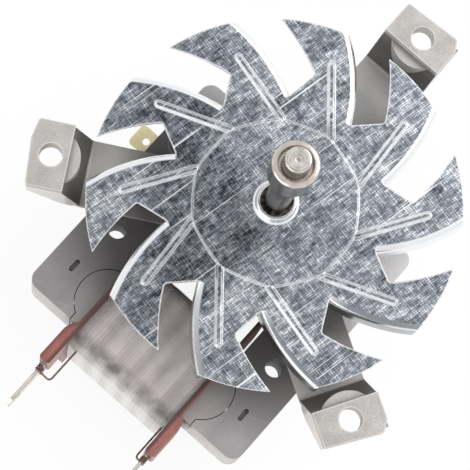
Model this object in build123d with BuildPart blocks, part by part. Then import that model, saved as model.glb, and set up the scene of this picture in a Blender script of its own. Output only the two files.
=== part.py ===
from build123d import *
import math
import os

# Motor for an oven's fan: a shaded pole motor on a three armed bracket, with a pressed
# cooling wheel and a long shaft that carries the oven's own fan. Sizes in millimetres.
# The origin is on the motor's axis, in the plane of the mounting faces. +Z runs along the
# shaft into the oven, and +Y along the single arm, away from the coil.

# Mounting bracket
bracket_sheet = 1.5
hole_circle_r = 54.2
hole_r = 2.85
arm_w = 16.4
foot_t = 2.0
foot_in = 4.3
foot_out = 5.4
foot_slant = 0.9
foot_cut_w = 1.8
foot_cut_l = 2.8
left_cut_w = 5.1
left_cut_l = 1.0
pad_inset = 1.2
foot_corner_r = 0.8
bracket_drop = 12.5
riser_run = 4.5
bend_r = 1.2
pocket_r = 7.1
flange_t = 1.2
flange_end_h = 4.4
collar_wall = 1.2
collar_h = 1.5
hub_plate_r = 20.0
hub_blend_r = 3.0
hub_hole_gap = 0.5
lug_r = 5.6

# Stator stack
stack_t = 15.0
stack_half_w = 33.5
stack_top = 17.0
stack_bottom = 50.4
stack_corner_r = 3.0
bore_r = 13.2
window_half_w = 17.4
window_top = 17.0
bolt_x = 25.5
spare_hole_y = 26.3
spare_hole_r = 2.35
dimple_x = 27.3
dimple_y = 40.0
dimple_l = 3.5
dimple_w = 1.2
dimple_depth = 1.5
bar_y = 41.4
bar_half_h = 8.1
bar_end_x = 15.2
bar_foot_half_w = 19.3
bar_foot_h = 3.4
bar_gap = 0.2

# Shading rings
ring_bar = 1.8
ring_gap = 0.05
ring_in_r = 15.0
ring_out_r = 19.6
ring_angles = (40, 140, 220, 320)

# Coil and terminals
bobbin_wall = 1.0
bobbin_gap = 0.15
cheek_in_x = 15.3
cheek_t = 1.3
cheek_top = 20.5
cheek_bottom = 57.4
cheek_half_z = 15.4
winding_build_y = 4.4
winding_build_z = 5.2
winding_round = 3.5
block_out_x = 18.3
block_shoulder = 4.0
block_bottom = 63.0
block_end_r = 0.7
block_h = 12.8
blade_inset = 3.9
blade_t = 0.8
blade_w = 6.3
blade_x = 16.5
blade_len = 17.6
blade_seat = 4.6
blade_tip = 1.4
blade_hole_r = 0.9
blade_hole_inset = 3.2
lead_r = 0.25
lead_drop = 2.3
lead_bend_r = 0.5
lead_overlap = 0.6
lead_inset = 0.75
left_lead_out = 2.6
right_lead_out = 0.6

# Earth blade
earth_y = -2.3
earth_end_x = 40.0
earth_hole_inset = 3.5
earth_hole_r = 0.95
earth_rivet_x = 29.0
earth_rivet_y = -9.0
earth_clear = 1.2
earth_root_inset = 0.3
earth_tip_r = 1.2
rivet_r = 1.5
rivet_head_r = 2.6
rivet_head_h = 1.2
rivet_edge_r = 0.6

# Bearing bridges and bearings
pillar_h = 7.9
pillar_r = 4.2
beam_t = 3.5
beam_w = 9.0
beam_eye = 1.75
housing_r = 8.5
housing_rise = 4.5
housing_wall = 1.5
pocket_wall = 1.3
cup_rim_r = 0.8
cup_lip = 0.6
cup_hole_gap = 0.6
bearing_r = 5.4
bearing_neck_r = 4.6
bearing_len = 6.5
bearing_head = 4.5
shaft_gap = 0.03
retainer_t = 0.8
washer_t = 0.8
end_play = 0.3

# Bolts
bolt_r = 2.0
bolt_gap = 0.15
bolt_head_r = 3.6
bolt_head_h = 2.6
bolt_head_dome = 1.15
bolt_cross_l = 3.6
bolt_cross_w = 0.9
bolt_cross_h = 1.4
nut_flats = 7.0
nut_h = 3.2
bolt_spare = 1.6

# Rotor and shaft
air_gap = 0.4
rotor_bars = 12
rotor_bar_r = 1.1
rotor_bar_inset = 1.9
end_ring_in_r = 7.6
end_ring_inset = 0.6
end_ring_h = 2.6
shaft_r = 3.0
shaft_out = 48.2
shaft_edge = 0.45
shaft_back_edge = 0.5
shaft_back_gap = 0.4
centre_r = 0.6
centre_depth = 0.7
washer_r = 5.2
sleeve_r = 4.4

# Cooling wheel. Slots and beads are measured from the rim
wheel_gap = 4.9
blades = 10
wheel_sheet = 0.6
wheel_drop = 0.3
tip_angle = 21.45
vane_depth = 7.0
fold_r = 1.8
fold_bulge = 1.3
fold_out_angle = -22.5
fold_over = 2.0
slot_fold_depth = 18.4
slot_fold_angle = -42.3
slot_edge_depth = 12.2
slot_edge_angle = -51.2
slot_corner_r = 0.9
slot_edge_bulge = 0.6
slot_over = 2.0
bead_w = 2.0
bead_h = 0.4
bead_end_depth = 8.6
bead_out_angle = -20.2
middle_h = 0.3
middle_inset = 6.0
middle_bulge = 0.35
bead_in_angle = -38.4
bead_back_w = 1.4
bead_back_h = 0.25
emboss_taper = 55
collar_r = 4.8
collar_rise = 2.55
collar_root_r = 0.8
collar_rim_r = 0.3
bush_r = 4.0
bush_flange_r = 6.4
bush_flange_t = 1.3
bush_len = 9.0
bush_sink = 0.5
bush_recess_r = 3.55
bush_recess_depth = 0.6

# Round nut near the shaft's end
nut_r = 5.45
nut_len = 10.9
nut_from_end = 4.5
nut_lip_r = 0.8
nut_back_r = 0.5
nut_recess_r = 4.1
nut_recess_depth = 2.4

# Levels that follow from the sizes above
base_z = -bracket_drop
base_back_z = base_z - bracket_sheet
pad_z = -foot_t
foot_inner_r = hole_circle_r - foot_in
foot_outer_r = hole_circle_r + foot_out
pad_outer_r = foot_outer_r - pad_inset
riser_foot_r = foot_inner_r - riser_run
stack_z = base_back_z - pillar_h
stack_back_z = stack_z - stack_t
stack_mid_z = stack_z - stack_t / 2
rotor_r = bore_r - air_gap
wheel_r = foot_inner_r - wheel_gap
wheel_z = -wheel_drop
wheel_back_z = wheel_z - wheel_sheet


def at(radius, degrees):
    """A point on the plane from its radius and its angle."""
    return (radius * math.cos(math.radians(degrees)), radius * math.sin(math.radians(degrees)))


def finish(part, name):
    """Label a piece and write it under its own name."""
    part.label = name
    export_step(part, f"parts/{name}.step")


os.makedirs("parts", exist_ok=True)


# One arm of the bracket, along +Y: strap, slanted riser, pad and side flanges
riser_slope = (pad_z - base_z) / riser_run
riser_back = bracket_sheet * math.hypot(1, 1 / riser_slope)
pocket_depth = (foot_inner_r - (hole_circle_r - pocket_r)) * riser_slope
with BuildPart() as arm:
    with BuildSketch(Plane.YZ):
        with BuildLine():
            FilletPolyline(
                (0, base_z), (riser_foot_r, base_z), (foot_inner_r, pad_z), (pad_outer_r, pad_z),
                radius=bend_r,
            )
            offset(amount=bracket_sheet, side=Side.RIGHT)
        make_face()
    extrude(amount=arm_w / 2, both=True)
    # Half round pocket in the riser, round the hole's own centre
    with BuildSketch(Plane.XY.offset(pad_z)):
        with Locations((0, hole_circle_r)):
            Circle(pocket_r)
            Rectangle(2 * pocket_r, pocket_r, align=(Align.CENTER, Align.MIN), mode=Mode.SUBTRACT)
    extrude(amount=-pocket_depth)
    with BuildSketch(Plane.YZ):
        Polygon(
            (foot_inner_r + riser_back, pad_z - bracket_sheet),
            (riser_foot_r + riser_back, base_back_z),
            (foot_outer_r + foot_t, base_back_z),
            (foot_outer_r + foot_t, pad_z - bracket_sheet),
            align=None,
        )
    extrude(amount=arm_w / 2, both=True, mode=Mode.SUBTRACT)
    with BuildSketch(Plane.XY.offset(pad_z - bracket_sheet)):
        with Locations((0, hole_circle_r)):
            Circle(pocket_r - bracket_sheet)
            Rectangle(2 * pocket_r, pocket_r, align=(Align.CENTER, Align.MIN), mode=Mode.SUBTRACT)
    extrude(amount=-pocket_depth - bend_r, mode=Mode.SUBTRACT)
    # Side flanges behind the riser and the pad
    for side in (-1, 1):
        with BuildSketch(Plane.YZ.offset(side * (arm_w - flange_t) / 2)):
            Polygon(
                (riser_foot_r + bracket_sheet, base_back_z),
                (riser_foot_r + bracket_sheet, base_z + bend_r * riser_slope),
                (foot_inner_r + bend_r, pad_z - bracket_sheet / 2),
                (pad_outer_r, pad_z - bracket_sheet / 2),
                (pad_outer_r, pad_z - flange_end_h),
                (foot_inner_r, base_back_z),
                align=None,
            )
        extrude(amount=flange_t / 2, both=True)
    # Drawn collar round the hole, behind the pad
    with BuildSketch(Plane.XY.offset(pad_z - bracket_sheet / 2)):
        with Locations((0, hole_circle_r)):
            Circle(hole_r + collar_wall)
    extrude(amount=-collar_h - bracket_sheet / 2)

with BuildPart() as mounting_bracket:
    with BuildSketch(Plane.XY.offset(base_z)) as hub_plate:
        Circle(hub_plate_r)
        SlotCenterToCenter(2 * bolt_x, 2 * lug_r)
        with PolarLocations(0, 3, start_angle=90):
            Rectangle(riser_foot_r - 2 * bend_r, arm_w, align=(Align.MIN, Align.CENTER))
        corners = hub_plate.vertices().filter_by(
            lambda corner: math.hypot(corner.X, corner.Y) < hub_plate_r + bracket_sheet
        )
        fillet(corners, radius=hub_blend_r)
    extrude(amount=-bracket_sheet)
    with PolarLocations(0, 3):
        add(arm.part)
    with BuildSketch(Plane.XY.offset(base_z)):
        Circle(housing_r + hub_hole_gap)
        with GridLocations(2 * bolt_x, 0, 2, 1):
            Circle(bolt_r + bolt_gap)
    extrude(amount=-bracket_sheet, mode=Mode.SUBTRACT)
    with BuildSketch(Plane.XY.offset(pad_z)):
        with PolarLocations(hole_circle_r, 3, start_angle=90):
            Circle(hole_r)
    extrude(amount=base_back_z, mode=Mode.SUBTRACT)
finish(mounting_bracket.part, "mounting_bracket")

# Thick plates on the pads. The outer edge slants up to a corner that is cut off
small_cut = (foot_cut_w, foot_cut_l)
left_cut = (left_cut_w, left_cut_l)
with BuildPart() as foot_plates:
    for turn, cut_side, (cut_w, cut_l) in ((0, 1, small_cut), (120, 1, left_cut), (240, -1, small_cut)):
        with BuildSketch(Plane.XY.offset(pad_z).rotated((0, 0, turn))):
            with BuildLine():
                Polyline(
                    (-cut_side * arm_w / 2, foot_inner_r),
                    (cut_side * arm_w / 2, foot_inner_r),
                    (cut_side * arm_w / 2, foot_outer_r - cut_l),
                    (cut_side * (arm_w / 2 - cut_w), foot_outer_r),
                    (-cut_side * arm_w / 2, foot_outer_r - foot_slant),
                    close=True,
                )
            make_face()
            with Locations((0, hole_circle_r)):
                Circle(hole_r, mode=Mode.SUBTRACT)
        extrude(amount=foot_t)
    upright = foot_plates.edges().filter_by(Axis.Z).filter_by(
        lambda edge: edge.geom_type == GeomType.LINE
        and math.hypot(edge.center().X, edge.center().Y) > hole_circle_r + foot_out / 2
    )
    fillet(upright, radius=foot_corner_r)
finish(foot_plates.part, "foot_plates")


# Places of the shading rings: mid point of each ring's two legs
ring_mid_r = (ring_in_r + ring_out_r) / 2
ring_span = ring_out_r - ring_in_r

with BuildPart() as stator_core:
    with BuildSketch(Plane.XY.offset(stack_z)):
        with Locations((0, (stack_top - stack_bottom) / 2)):
            RectangleRounded(2 * stack_half_w, stack_top + stack_bottom, stack_corner_r)
        Circle(bore_r, mode=Mode.SUBTRACT)
        with Locations((0, -window_top)):
            Rectangle(
                2 * window_half_w, stack_bottom, align=(Align.CENTER, Align.MAX), mode=Mode.SUBTRACT
            )
        with Locations((0, -bar_y)):
            SlotCenterToCenter(2 * bar_end_x, 2 * (bar_half_h + bar_gap), mode=Mode.SUBTRACT)
        with Locations((0, -stack_bottom)):
            Rectangle(
                2 * (bar_foot_half_w + bar_gap), bar_foot_h,
                align=(Align.CENTER, Align.MIN), mode=Mode.SUBTRACT,
            )
        with GridLocations(2 * bolt_x, 0, 2, 1):
            Circle(bolt_r + bolt_gap, mode=Mode.SUBTRACT)
        with Locations((-bolt_x, -spare_hole_y), (bolt_x, -spare_hole_y)):
            Circle(spare_hole_r, mode=Mode.SUBTRACT)
        with Locations((-earth_rivet_x, earth_rivet_y)):
            Circle(rivet_r, mode=Mode.SUBTRACT)
        for angle in ring_angles:
            for leg_r in (ring_in_r, ring_out_r):
                with Locations(Location((*at(leg_r, angle), 0), (0, 0, angle))):
                    Rectangle(ring_bar + 2 * ring_gap, ring_bar + 2 * ring_gap, mode=Mode.SUBTRACT)
    extrude(amount=-stack_t)
    with BuildSketch(Plane.XY.offset(stack_z)):
        with Locations((-dimple_x, -dimple_y), (dimple_x, -dimple_y)):
            SlotOverall(dimple_l, dimple_w, rotation=90)
    extrude(amount=-dimple_depth, mode=Mode.SUBTRACT)
finish(stator_core.part, "stator_core")

with BuildPart() as coil_core:
    with BuildSketch(Plane.XY.offset(stack_z)):
        with Locations((0, -bar_y)):
            SlotCenterToCenter(2 * bar_end_x, 2 * bar_half_h)
        with Locations((0, -stack_bottom)):
            Rectangle(2 * bar_foot_half_w, bar_foot_h, align=(Align.CENTER, Align.MIN))
    extrude(amount=-stack_t)
finish(coil_core.part, "coil_core")

with BuildPart() as shading_rings:
    for angle in ring_angles:
        ring_plane = Plane(
            origin=(*at(ring_mid_r, angle), stack_mid_z),
            x_dir=(*at(1, angle), 0),
            z_dir=(math.sin(math.radians(angle)), -math.cos(math.radians(angle)), 0),
        )
        with BuildSketch(ring_plane):
            Rectangle(ring_span + ring_bar, stack_t + 2 * ring_bar)
            Rectangle(ring_span - ring_bar, stack_t, mode=Mode.SUBTRACT)
        extrude(amount=ring_bar / 2, both=True)
finish(shading_rings.part, "shading_rings")


# Coil: the bar's section sets the bobbin's tube, and the tube sets the winding
bar_top_y = -bar_y + bar_half_h
tube_mid_y = (bar_top_y - stack_bottom) / 2
tube_half_y = (bar_top_y + stack_bottom) / 2 + bobbin_gap
tube_half_z = stack_t / 2 + bobbin_gap
cheek_out_x = cheek_in_x + cheek_t
block_top = stack_bottom + bobbin_gap
cheek_x = cheek_in_x + cheek_t / 2
block_front_z = stack_mid_z + cheek_half_z
blade_mid_z = block_front_z - blade_inset - blade_w / 2
coil_plane = Plane(origin=(0, tube_mid_y, stack_mid_z), x_dir=(0, 1, 0), z_dir=(1, 0, 0))

with BuildPart() as bobbin:
    with BuildSketch(coil_plane):
        RectangleRounded(2 * (tube_half_y + bobbin_wall), 2 * (tube_half_z + bobbin_wall), bobbin_wall)
    extrude(amount=cheek_in_x, both=True)
    for side in (-1, 1):
        with BuildSketch(Plane.YZ.offset(side * cheek_x)):
            with Locations((-(cheek_top + cheek_bottom) / 2, stack_mid_z)):
                RectangleRounded(cheek_bottom - cheek_top, 2 * cheek_half_z, bobbin_wall)
        extrude(amount=cheek_t / 2, both=True)
        # Block for the terminal, flush with the cheek's inner face and wider outside
        with BuildSketch(Plane.XY.offset(block_front_z)) as block:
            with BuildLine():
                shoulder = (side * block_out_x, -block_top - block_shoulder)
                TangentArc(shoulder, (side * cheek_out_x, -block_top), tangent=(0, 1))
                Polyline(
                    (side * cheek_out_x, -block_top),
                    (side * cheek_in_x, -block_top),
                    (side * cheek_in_x, -block_bottom),
                    (side * block_out_x, -block_bottom),
                    shoulder,
                )
            make_face()
            fillet(block.vertices().group_by(Axis.Y)[0], radius=block_end_r)
        extrude(amount=-block_h)
        # Slot for the terminal blade
        with BuildSketch(Plane.XZ.offset(block_bottom)):
            with Locations((side * blade_x, blade_mid_z)):
                Rectangle(blade_t, blade_w)
        extrude(amount=-blade_seat, mode=Mode.SUBTRACT)
    with BuildSketch(coil_plane):
        Rectangle(2 * tube_half_y, 2 * tube_half_z)
    extrude(amount=cheek_out_x, both=True, mode=Mode.SUBTRACT)
finish(bobbin.part, "bobbin")

# Winding with its two ends led down to the terminals
winding_half_y = tube_half_y + bobbin_wall + winding_build_y
winding_half_z = tube_half_z + bobbin_wall + winding_build_z
lead_y = -block_bottom - lead_drop
lead_z = blade_mid_z + blade_w / 2 - lead_inset
with BuildPart() as winding:
    with BuildSketch(coil_plane):
        RectangleRounded(2 * winding_half_y, 2 * winding_half_z, winding_round)
        RectangleRounded(
            2 * (tube_half_y + bobbin_wall), 2 * (tube_half_z + bobbin_wall), bobbin_wall,
            mode=Mode.SUBTRACT,
        )
    extrude(amount=cheek_in_x, both=True)
    for side, lead_out in ((-1, left_lead_out), (1, right_lead_out)):
        lead_x = side * (cheek_in_x - lead_out)
        with BuildLine():
            lead = FilletPolyline(
                (side * (blade_x - blade_t / 2), lead_y, lead_z),
                (lead_x, lead_y, lead_z),
                (lead_x, tube_mid_y - winding_half_y + lead_overlap, lead_z),
                radius=lead_bend_r,
            )
        with BuildSketch(Plane(origin=lead @ 0, z_dir=lead % 0)):
            Circle(lead_r)
        sweep(path=lead)
finish(winding.part, "winding")

# Flat blades for push-on connectors
blade_top_y = blade_seat - block_bottom
for name, side in (("terminal_left", -1), ("terminal_right", 1)):
    with BuildPart() as blade:
        with BuildSketch(Plane.YZ.offset(side * blade_x)):
            with Locations((blade_top_y, blade_mid_z)):
                Rectangle(blade_len, blade_w, align=(Align.MAX, Align.CENTER))
        extrude(amount=blade_t / 2, both=True)
        tip = blade.faces().sort_by(Axis.Y)[0]
        chamfer(tip.edges().filter_by(Axis.X), length=blade_tip)
        with BuildSketch(Plane.YZ.offset(side * blade_x)):
            with Locations((blade_top_y - blade_len + blade_hole_inset, blade_mid_z)):
                Circle(blade_hole_r)
        extrude(amount=blade_t, both=True, mode=Mode.SUBTRACT)
    finish(blade.part, name)

# Brass earth blade on the back of the stack. Its root steps round the bridge's foot to the rivet
earth_root_in_x = bolt_x + pillar_r + earth_clear
earth_root_out_x = stack_half_w - earth_root_inset
with BuildPart() as earth_terminal:
    with BuildSketch(Plane.XY.offset(stack_back_z)):
        Polygon(
            (-earth_end_x, earth_y - blade_w / 2),
            (-earth_root_out_x, earth_y - blade_w / 2),
            (-earth_root_out_x, earth_rivet_y - blade_w / 2),
            (-earth_rivet_x + blade_w / 2, earth_rivet_y - blade_w / 2),
            (-earth_rivet_x + blade_w / 2, earth_rivet_y + blade_w / 2),
            (-earth_root_in_x, earth_rivet_y + blade_w / 2),
            (-earth_root_in_x, earth_y + blade_w / 2),
            (-earth_end_x, earth_y + blade_w / 2),
            align=None,
        )
        with Locations((-earth_end_x + earth_hole_inset, earth_y)):
            Circle(earth_hole_r, mode=Mode.SUBTRACT)
        with Locations((-earth_rivet_x, earth_rivet_y)):
            Circle(rivet_r, mode=Mode.SUBTRACT)
    extrude(amount=-blade_t)
    outer_end = earth_terminal.faces().filter_by(Axis.X).sort_by(Axis.X)[0]
    fillet(outer_end.edges().filter_by(Axis.Z), radius=earth_tip_r)
finish(earth_terminal.part, "earth_terminal")

with BuildPart() as earth_rivet:
    with BuildSketch(Plane.XY.offset(stack_z)):
        with Locations((-earth_rivet_x, earth_rivet_y)):
            Circle(rivet_r)
    extrude(amount=-stack_t - blade_t)
    for head_plane in (Plane.XY.offset(stack_z), Plane.XY.offset(stack_back_z - blade_t - rivet_head_h)):
        with BuildSketch(head_plane):
            with Locations((-earth_rivet_x, earth_rivet_y)):
                Circle(rivet_head_r)
        extrude(amount=rivet_head_h)
    fillet(earth_rivet.edges().group_by(Axis.Z)[0], radius=rivet_edge_r)
    fillet(earth_rivet.edges().group_by(Axis.Z)[-1], radius=rivet_edge_r)
finish(earth_rivet.part, "earth_rivet")


# Bearing bridges: two pillars, a beam across and a cup for the bearing in its middle
cup_front_z = base_back_z + housing_rise
cup_floor_z = cup_front_z - housing_wall
cup_open_z = cup_floor_z - bearing_len - cup_lip
cup_pocket_r = housing_r - pocket_wall


def bridge(shaft_hole_r):
    """The front bridge's shape, with a shaft hole of this radius through its cup."""
    with BuildPart() as body:
        with BuildSketch(Plane.XY.offset(base_back_z)):
            SlotCenterToCenter(2 * bolt_x, beam_w)
            Circle(housing_r + beam_eye)
        extrude(amount=-beam_t)
        with BuildSketch(Plane.XY.offset(base_back_z)):
            with GridLocations(2 * bolt_x, 0, 2, 1):
                Circle(pillar_r)
        extrude(amount=-pillar_h)
        with BuildSketch(Plane.XY.offset(cup_front_z)):
            Circle(housing_r)
        extrude(amount=cup_open_z - cup_front_z)
        rim = body.edges().filter_by(GeomType.CIRCLE).group_by(Axis.Z)[-1]
        fillet(rim, radius=cup_rim_r)
        with BuildSketch(Plane.XY.offset(cup_open_z)):
            Circle(cup_pocket_r)
        extrude(amount=cup_floor_z - cup_open_z, mode=Mode.SUBTRACT)
        with BuildSketch(Plane.XY.offset(cup_front_z)):
            if shaft_hole_r > 0:
                Circle(shaft_hole_r)
            with GridLocations(2 * bolt_x, 0, 2, 1):
                Circle(bolt_r + bolt_gap)
        extrude(amount=stack_z - cup_front_z, mode=Mode.SUBTRACT)
    return body.part


back_to_front = Plane.XY.offset(stack_mid_z)
finish(bridge(shaft_r + cup_hole_gap), "front_bridge")
finish(mirror(bridge(0), about=back_to_front), "rear_bridge")

# Sintered bush: a wide head against the cup's floor and a neck that passes the retainer
with BuildPart() as bearing:
    with BuildSketch(Plane.XZ):
        Polygon(
            (shaft_r + shaft_gap, cup_floor_z),
            (bearing_r, cup_floor_z),
            (bearing_r, cup_floor_z - bearing_head),
            (bearing_neck_r, cup_floor_z - bearing_head),
            (bearing_neck_r, cup_floor_z - bearing_len),
            (shaft_r + shaft_gap, cup_floor_z - bearing_len),
            align=None,
        )
    revolve(axis=Axis.Z)
finish(bearing.part, "front_bearing")
finish(mirror(bearing.part, about=back_to_front), "rear_bearing")

# Felt ring round the bush's head
with BuildPart() as felt:
    with BuildSketch(Plane.XY.offset(cup_floor_z)):
        Circle(cup_pocket_r)
        Circle(bearing_r, mode=Mode.SUBTRACT)
    extrude(amount=-bearing_head)
finish(felt.part, "front_felt")
finish(mirror(felt.part, about=back_to_front), "rear_felt")

# Pressed ring that holds bush and felt in the cup
with BuildPart() as retainer:
    with BuildSketch(Plane.XY.offset(cup_floor_z - bearing_head)):
        Circle(cup_pocket_r)
        Circle(bearing_neck_r, mode=Mode.SUBTRACT)
    extrude(amount=-retainer_t)
finish(retainer.part, "front_retainer")
finish(mirror(retainer.part, about=back_to_front), "rear_retainer")

# Long bolts with round heads on the bracket, and their nuts behind the rear bridge
clamp_back_z = 2 * stack_mid_z - base_back_z
with BuildPart() as clamp_bolts:
    with BuildSketch(Plane.XY.offset(base_z)):
        with GridLocations(2 * bolt_x, 0, 2, 1):
            Circle(bolt_head_r)
    extrude(amount=bolt_head_h)
    head_rims = clamp_bolts.edges().group_by(Axis.Z)[-1]
    fillet(head_rims, radius=bolt_head_dome)
    with BuildSketch(Plane.XY.offset(base_z)):
        with GridLocations(2 * bolt_x, 0, 2, 1):
            Circle(bolt_r)
    extrude(amount=clamp_back_z - nut_h - bolt_spare - base_z)
    for slot_turn in (0, 90):
        with BuildSketch(Plane.XY.offset(base_z + bolt_head_h)):
            with GridLocations(2 * bolt_x, 0, 2, 1):
                Rectangle(bolt_cross_l, bolt_cross_w, rotation=slot_turn + 45)
        extrude(amount=-bolt_cross_h, mode=Mode.SUBTRACT)
finish(clamp_bolts.part, "clamp_bolts")

with BuildPart() as clamp_nuts:
    with BuildSketch(Plane.XY.offset(clamp_back_z)):
        with GridLocations(2 * bolt_x, 0, 2, 1):
            RegularPolygon(nut_flats / 2, 6, major_radius=False)
            Circle(bolt_r, mode=Mode.SUBTRACT)
    extrude(amount=-nut_h)
finish(clamp_nuts.part, "clamp_nuts")


# Rotor: laminated drum with closed slots, and the cage cast through them
rotor_slot_r = rotor_r - rotor_bar_inset
with BuildPart() as rotor_core:
    with BuildSketch(Plane.XY.offset(stack_z)):
        Circle(rotor_r)
        Circle(shaft_r, mode=Mode.SUBTRACT)
        with PolarLocations(rotor_slot_r, rotor_bars):
            Circle(rotor_bar_r, mode=Mode.SUBTRACT)
    extrude(amount=-stack_t)
finish(rotor_core.part, "rotor_core")

with BuildPart() as rotor_cage:
    with BuildSketch(Plane.XY.offset(stack_z)):
        with PolarLocations(rotor_slot_r, rotor_bars):
            Circle(rotor_bar_r)
    extrude(amount=-stack_t)
    for ring_z in (stack_z, stack_back_z - end_ring_h):
        with BuildSketch(Plane.XY.offset(ring_z)):
            Circle(rotor_r - end_ring_inset)
            Circle(end_ring_in_r, mode=Mode.SUBTRACT)
        extrude(amount=end_ring_h)
finish(rotor_cage.part, "rotor_cage")

# Sleeves from the drum to the thrust washers, which run against the bushes' inner ends
bearing_inner_z = cup_floor_z - bearing_len
washer_front_z = bearing_inner_z - end_play
with BuildPart() as thrust_washers:
    with BuildSketch(Plane.XY.offset(washer_front_z)):
        Circle(washer_r)
        Circle(shaft_r, mode=Mode.SUBTRACT)
    extrude(amount=-washer_t)
    mirror(about=back_to_front)
finish(thrust_washers.part, "thrust_washers")

with BuildPart() as spacer_sleeves:
    with BuildSketch(Plane.XY.offset(stack_z)):
        Circle(sleeve_r)
        Circle(shaft_r, mode=Mode.SUBTRACT)
    extrude(amount=washer_front_z - washer_t - stack_z)
    mirror(about=back_to_front)
finish(spacer_sleeves.part, "spacer_sleeves")

# Shaft with a rounded, centred end
shaft_back_z = 2 * stack_mid_z - cup_floor_z + shaft_back_gap
with BuildPart() as shaft:
    with BuildSketch(Plane.XY.offset(shaft_back_z)):
        Circle(shaft_r)
    extrude(amount=shaft_out - shaft_back_z)
    fillet(shaft.edges().group_by(Axis.Z)[-1], radius=shaft_edge)
    chamfer(shaft.edges().group_by(Axis.Z)[0], length=shaft_back_edge)
    with BuildSketch(Plane.XZ):
        Polygon((0, shaft_out), (centre_r, shaft_out), (0, shaft_out - centre_depth), align=None)
    revolve(axis=Axis.Z, mode=Mode.SUBTRACT)
finish(shaft.part, "shaft")


# Cooling wheel. Each blade's trailing edge is folded back along an arc, so the fold and the
# vane behind it are turned about that arc's own centre. The first blade's tip is at angle 0
next_blade = 360 / blades
slot_fold_r = wheel_r - slot_fold_depth
fold_out = Vector(*at(wheel_r, fold_out_angle))
fold_in = Vector(*at(slot_fold_r, slot_fold_angle))
fold_mid = (fold_out + fold_in) / 2
fold_chord = (fold_out - fold_in).length
fold_arc_r = fold_chord ** 2 / (8 * fold_bulge) + fold_bulge / 2
fold_turn = math.degrees(2 * math.asin(fold_chord / (2 * fold_arc_r)))
fold_dir = (fold_out - fold_in) / fold_chord
fold_over_turn = math.degrees(fold_over / fold_arc_r)
fold_inward = Vector(-fold_dir.Y, fold_dir.X)
fold_centre = fold_mid + fold_inward * (fold_arc_r - fold_bulge)
fold_end = fold_centre + (fold_out - fold_centre).rotate(Axis.Z, fold_over_turn)
flat_arc_r = fold_arc_r - fold_r


def on_flat(point):
    """The point level with a given one on the arc where the flat blade ends and its fold starts."""
    return fold_centre + (point - fold_centre).normalized() * flat_arc_r


start_dir = (fold_in - fold_centre).normalized()
start_plane = Plane(
    origin=fold_centre, x_dir=(start_dir.X, start_dir.Y, 0), z_dir=(start_dir.Y, -start_dir.X, 0)
)
inner_arc_r = fold_arc_r - wheel_sheet
vane_z = wheel_z - vane_depth
bend_z = wheel_z - fold_r
with BuildPart() as vane:
    with BuildSketch(start_plane):
        with BuildLine():
            Line((flat_arc_r, wheel_back_z), (flat_arc_r, wheel_z))
            RadiusArc((flat_arc_r, wheel_z), (fold_arc_r, bend_z), fold_r)
            Polyline(
                (fold_arc_r, bend_z), (fold_arc_r, vane_z), (inner_arc_r, vane_z), (inner_arc_r, bend_z)
            )
            RadiusArc((inner_arc_r, bend_z), (flat_arc_r, wheel_back_z), wheel_sheet - fold_r)
        make_face()
    revolve(axis=Axis(fold_centre, (0, 0, 1)), revolution_arc=fold_turn + fold_over_turn)

# Slot between the first blade's fold and the next blade's free edge
edge_in = Vector(*at(wheel_r - slot_edge_depth, slot_edge_angle))
edge_tip = Vector(*at(wheel_r, -next_blade))
edge_dir = (edge_tip - edge_in).normalized()
edge_side = Vector(edge_dir.Y, -edge_dir.X)
edge_mid = (edge_in + edge_tip) / 2 + edge_side * slot_edge_bulge
with BuildPart() as slot:
    with BuildSketch(Plane.XY.offset(wheel_back_z)) as outline:
        with BuildLine():
            ThreePointArc(edge_in, edge_mid, edge_tip)
            Polyline(
                edge_tip,
                edge_tip + edge_dir * slot_over,
                on_flat(fold_end),
            )
            ThreePointArc(on_flat(fold_end), on_flat(fold_mid), on_flat(fold_in))
            Polyline(on_flat(fold_in), fold_in, edge_in)
        make_face()
        fillet(outline.vertices().sort_by_distance(edge_in)[0], radius=slot_corner_r)
    extrude(amount=wheel_sheet)

bead_in_r = slot_fold_r - middle_inset
bead_out = Vector(*at(wheel_r - bead_end_depth, bead_out_angle))
bead_in = Vector(*at(bead_in_r, bead_in_angle))
bead_line = bead_out - bead_in
bead_turn = math.degrees(math.atan2(bead_line.Y, bead_line.X))


def beads(width):
    """Outlines of the beads that run out from the corners of the raised middle."""
    with PolarLocations(0, blades):
        with Locations((bead_in + bead_out) / 2):
            SlotCenterToCenter(bead_line.length, width, rotation=bead_turn)


def raised_middle(inset):
    """Face of the raised middle, with slightly bulging sides."""
    corner_r = bead_in_r - inset
    side_r = corner_r * math.cos(math.radians(next_blade / 2)) + middle_bulge
    with BuildSketch() as face:
        with BuildLine():
            for k in range(blades):
                angle = bead_in_angle + k * next_blade
                ThreePointArc(
                    at(corner_r, angle),
                    at(side_r, angle + next_blade / 2),
                    at(corner_r, angle + next_blade),
                )
        make_face()
    return face.sketch


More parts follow.
